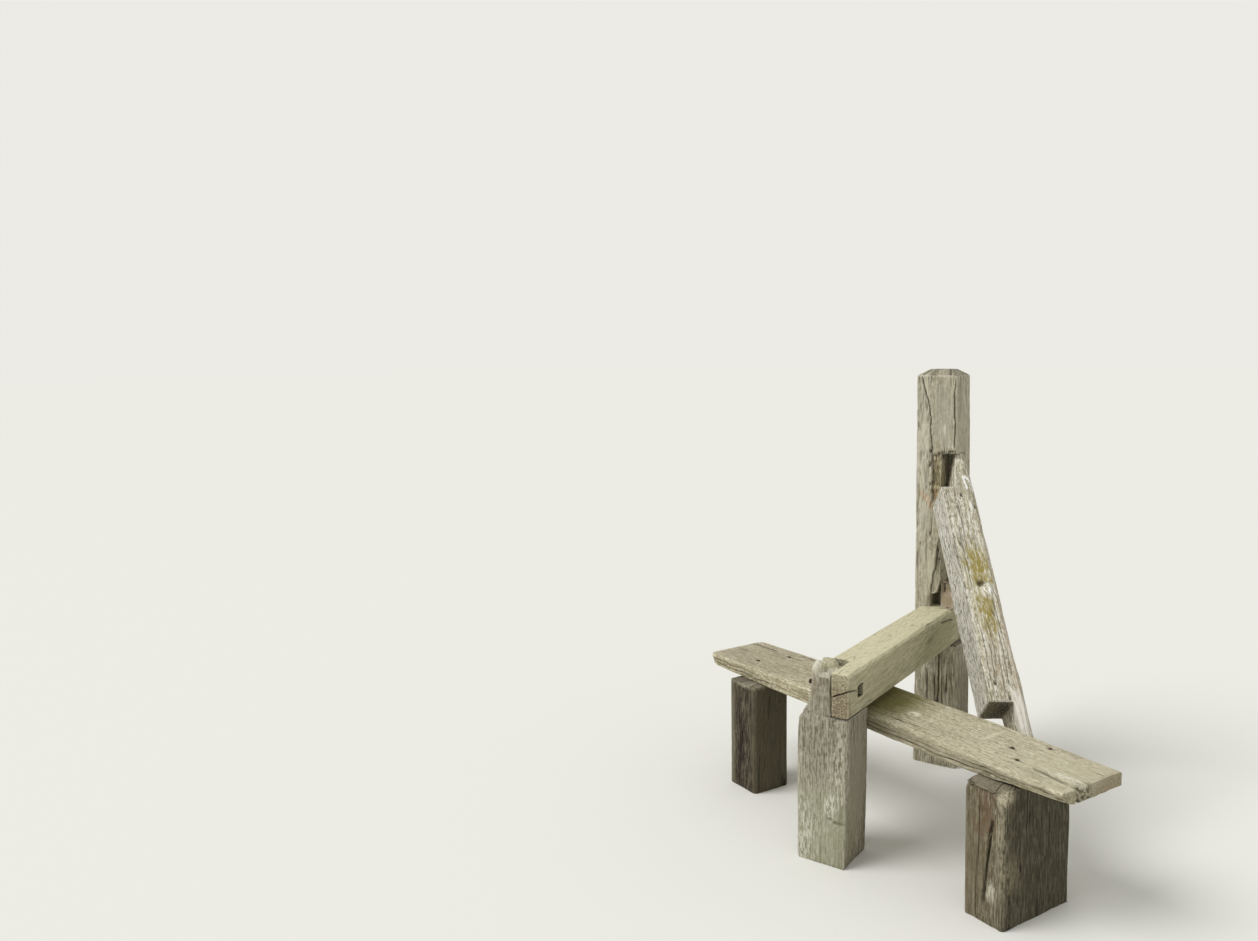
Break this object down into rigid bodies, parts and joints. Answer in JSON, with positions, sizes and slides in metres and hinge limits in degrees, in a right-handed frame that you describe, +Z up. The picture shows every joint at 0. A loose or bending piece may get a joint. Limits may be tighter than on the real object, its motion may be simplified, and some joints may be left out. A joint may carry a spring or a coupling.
{
  "type": "timber step stile",
  "caption": "Weathered oak step stile: tall hand post, low post, square rail, long step plank on two stub posts and a leaning notched brace.",
  "frame": {"origin": "at the tall post's foot, on the ground, plumb under the middle of its top", "axes": "+Z up, -Y along the rail from the tall post to the short post, +X to the side where the brace leans"},
  "size_m": [1.1467, 0.8925, 1.155],
  "materials": {
    "tall_post": "weathered bare oak, grey-brown, cracked along the grain",
    "short_post": "weathered bare oak, pale grey, green low down",
    "rail": "weathered bare oak, khaki top, darker olive-grey sides",
    "rail_bolt": "dark rusted iron",
    "step_plank": "foot-worn pale oak with olive algae under the rail",
    "left_step_post": "dark weathered oak, pale along one arris",
    "right_step_post": "dark weathered oak with deep cracks and a rusty stain",
    "brace": "cream and silver weathered oak with ochre lichen"
  },
  "bodies": {
    "root": {"tall_post": "tall_post", "short_post": "short_post", "rail": "rail", "rail_bolt": "rail_bolt", "step_plank": "step_plank", "left_step_post": "left_step_post", "right_step_post": "right_step_post", "brace": "brace"}
  },
  "joints": []
}
